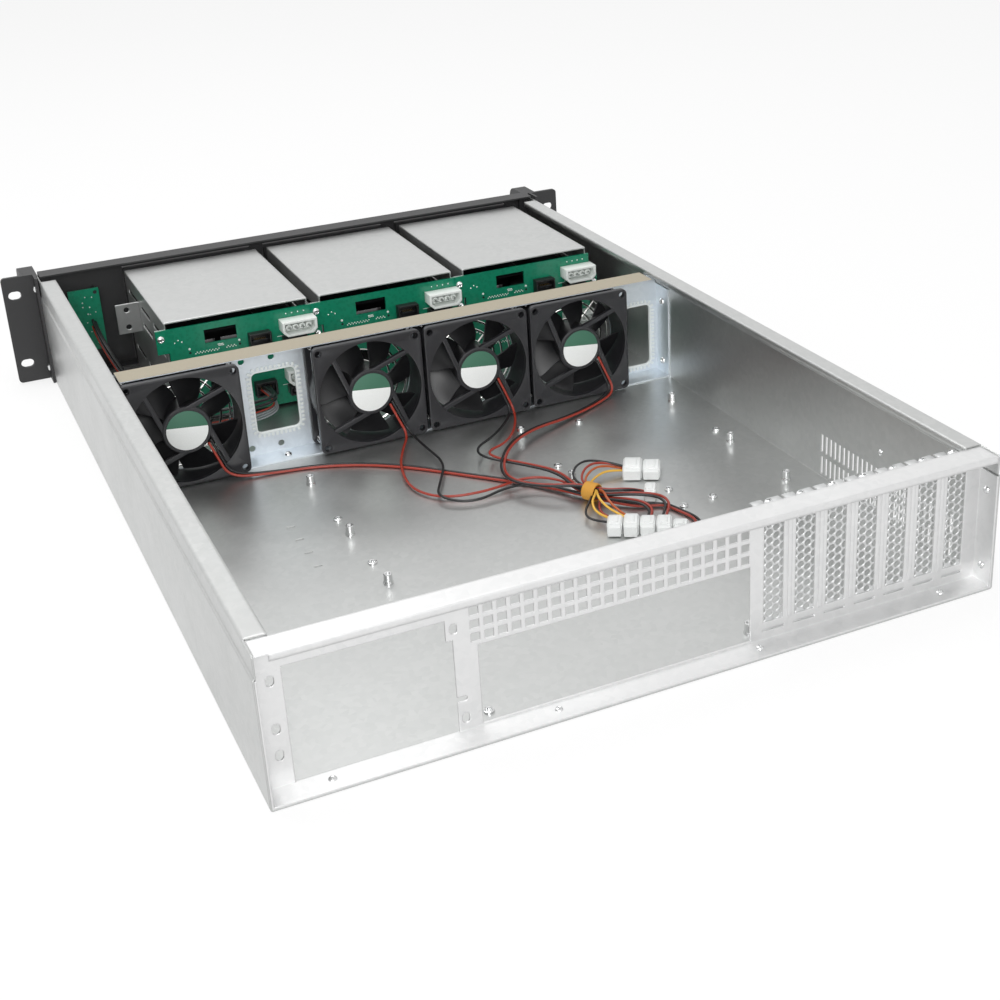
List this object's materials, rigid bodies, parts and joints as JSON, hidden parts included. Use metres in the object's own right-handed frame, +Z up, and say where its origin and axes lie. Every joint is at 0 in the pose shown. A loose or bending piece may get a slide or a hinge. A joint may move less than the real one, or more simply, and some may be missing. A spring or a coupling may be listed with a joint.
{
  "type": "empty rackmount server case",
  "caption": "Low rackmount server case with its top cover off: folded steel chassis, hot-swap drive bays in front, a bracket of cooling fans and a slotted rear panel.",
  "frame": {"origin": "centre of the case's footprint, on the underside of its floor", "axes": "+Y to the rear panel, +Z up, +X to the left of the case seen from behind"},
  "size_m": [0.4826, 0.684, 0.0884],
  "materials": {
    "galvanised_steel": "zinc coated, faintly spangled",
    "black_powder_coat": "matte textured powder coat",
    "black_abs": "fine moulded grain",
    "lever_plastic": "moulded satin",
    "circuit_board": "green solder mask",
    "socket_nylon": "moulded nylon",
    "socket_black": "moulded nylon",
    "usb_shell": "plated sheet",
    "led_lens": "clear epoxy",
    "fan_plastic": "moulded, faint sheen",
    "bright_wire": "nickel plated wire",
    "edging_nylon": "natural nylon",
    "screw_steel": "nickel plated",
    "red_wire": "PVC insulation",
    "black_wire": "PVC insulation",
    "yellow_wire": "PVC insulation",
    "plug_nylon": "moulded nylon",
    "tie_ochre": "foamed tie"
  },
  "bodies": {
    "root": {"chassis_tray": "galvanised_steel", "rear_panel": "galvanised_steel", "slot_covers": "galvanised_steel", "fan_wall": "galvanised_steel", "drive_cage_1": "galvanised_steel", "drive_cage_2": "galvanised_steel", "drive_cage_3": "galvanised_steel", "front_panel": "black_powder_coat", "rack_ear_left": "black_powder_coat", "rack_ear_right": "black_powder_coat", "handle_left": "black_powder_coat", "handle_right": "black_powder_coat", "backplane_1": "circuit_board", "backplane_2": "circuit_board", "backplane_3": "circuit_board", "front_board": "circuit_board", "power_sockets": "socket_nylon", "data_sockets": "socket_black", "usb_sockets": "usb_shell", "status_leds": "led_lens", "fan_frame_1": "fan_plastic", "fan_frame_2": "fan_plastic", "fan_frame_3": "fan_plastic", "fan_frame_4": "fan_plastic", "fan_guards": "bright_wire", "cable_edging": "edging_nylon", "fan_screws": "screw_steel", "case_screws": "screw_steel", "rivets": "screw_steel", "floor_inserts": "screw_steel", "standoffs": "screw_steel", "fan_wire_1_red": "red_wire", "fan_wire_2_red": "red_wire", "fan_wire_3_red": "red_wire", "fan_wire_4_red": "red_wire", "fan_wire_1_black": "black_wire", "fan_wire_2_black": "black_wire", "fan_wire_3_black": "black_wire", "fan_wire_4_black": "black_wire", "power_lead": "yellow_wire", "fan_plugs": "plug_nylon", "wire_tie": "tie_ochre"},
    "tray_1": {"drive_tray_1": "black_abs"},
    "lever_1": {"tray_lever_1": "lever_plastic"},
    "tray_2": {"drive_tray_2": "black_abs"},
    "lever_2": {"tray_lever_2": "lever_plastic"},
    "tray_3": {"drive_tray_3": "black_abs"},
    "lever_3": {"tray_lever_3": "lever_plastic"},
    "tray_4": {"drive_tray_4": "black_abs"},
    "lever_4": {"tray_lever_4": "lever_plastic"},
    "tray_5": {"drive_tray_5": "black_abs"},
    "lever_5": {"tray_lever_5": "lever_plastic"},
    "tray_6": {"drive_tray_6": "black_abs"},
    "lever_6": {"tray_lever_6": "lever_plastic"},
    "rotor_1": {"fan_rotor_1": "fan_plastic"},
    "rotor_2": {"fan_rotor_2": "fan_plastic"},
    "rotor_3": {"fan_rotor_3": "fan_plastic"},
    "rotor_4": {"fan_rotor_4": "fan_plastic"},
    "power_button": {"power_button": "lever_plastic"},
    "reset_button": {"reset_button": "lever_plastic"}
  },
  "joints": [
    {"name": "tray_1_slide", "type": "slide", "parent": "root", "child": "tray_1", "axis": [0, -1, 0], "range_m": [0, 0.15]},
    {"name": "lever_1_hinge", "type": "hinge", "parent": "tray_1", "child": "lever_1", "pos_m": [0.05115, -0.3085, 0.0217], "axis": [0, 0, -1], "range_deg": [0, 70]},
    {"name": "tray_2_slide", "type": "slide", "parent": "root", "child": "tray_2", "axis": [0, -1, 0], "range_m": [0, 0.15]},
    {"name": "lever_2_hinge", "type": "hinge", "parent": "tray_2", "child": "lever_2", "pos_m": [0.05115, -0.3085, 0.0619], "axis": [0, 0, -1], "range_deg": [0, 70]},
    {"name": "tray_3_slide", "type": "slide", "parent": "root", "child": "tray_3", "axis": [0, -1, 0], "range_m": [0, 0.15]},
    {"name": "lever_3_hinge", "type": "hinge", "parent": "tray_3", "child": "lever_3", "pos_m": [-0.06585, -0.3085, 0.0217], "axis": [0, 0, -1], "range_deg": [0, 70]},
    {"name": "tray_4_slide", "type": "slide", "parent": "root", "child": "tray_4", "axis": [0, -1, 0], "range_m": [0, 0.15]},
    {"name": "lever_4_hinge", "type": "hinge", "parent": "tray_4", "child": "lever_4", "pos_m": [-0.06585, -0.3085, 0.0619], "axis": [0, 0, -1], "range_deg": [0, 70]},
    {"name": "tray_5_slide", "type": "slide", "parent": "root", "child": "tray_5", "axis": [0, -1, 0], "range_m": [0, 0.15]},
    {"name": "lever_5_hinge", "type": "hinge", "parent": "tray_5", "child": "lever_5", "pos_m": [-0.18285, -0.3085, 0.0217], "axis": [0, 0, -1], "range_deg": [0, 70]},
    {"name": "tray_6_slide", "type": "slide", "parent": "root", "child": "tray_6", "axis": [0, -1, 0], "range_m": [0, 0.15]},
    {"name": "lever_6_hinge", "type": "hinge", "parent": "tray_6", "child": "lever_6", "pos_m": [-0.18285, -0.3085, 0.0619], "axis": [0, 0, -1], "range_deg": [0, 70]},
    {"name": "rotor_1_spin", "type": "hinge", "parent": "root", "child": "rotor_1", "pos_m": [0.1614, -0.048, 0.04205], "axis": [0, 1, 0], "continuous": true},
    {"name": "rotor_2_spin", "type": "hinge", "parent": "root", "child": "rotor_2", "pos_m": [0.0303, -0.048, 0.04205], "axis": [0, 1, 0], "continuous": true},
    {"name": "rotor_3_spin", "type": "hinge", "parent": "root", "child": "rotor_3", "pos_m": [-0.0523, -0.048, 0.04205], "axis": [0, 1, 0], "continuous": true},
    {"name": "rotor_4_spin", "type": "hinge", "parent": "root", "child": "rotor_4", "pos_m": [-0.1349, -0.048, 0.04205], "axis": [0, 1, 0], "continuous": true},
    {"name": "power_button_press", "type": "slide", "parent": "root", "child": "power_button", "axis": [0, 1, 0], "range_m": [0, 0.0012], "stiffness_N_per_m": 500},
    {"name": "reset_button_press", "type": "slide", "parent": "root", "child": "reset_button", "axis": [0, 1, 0], "range_m": [0, 0.0012], "stiffness_N_per_m": 500}
  ]
}
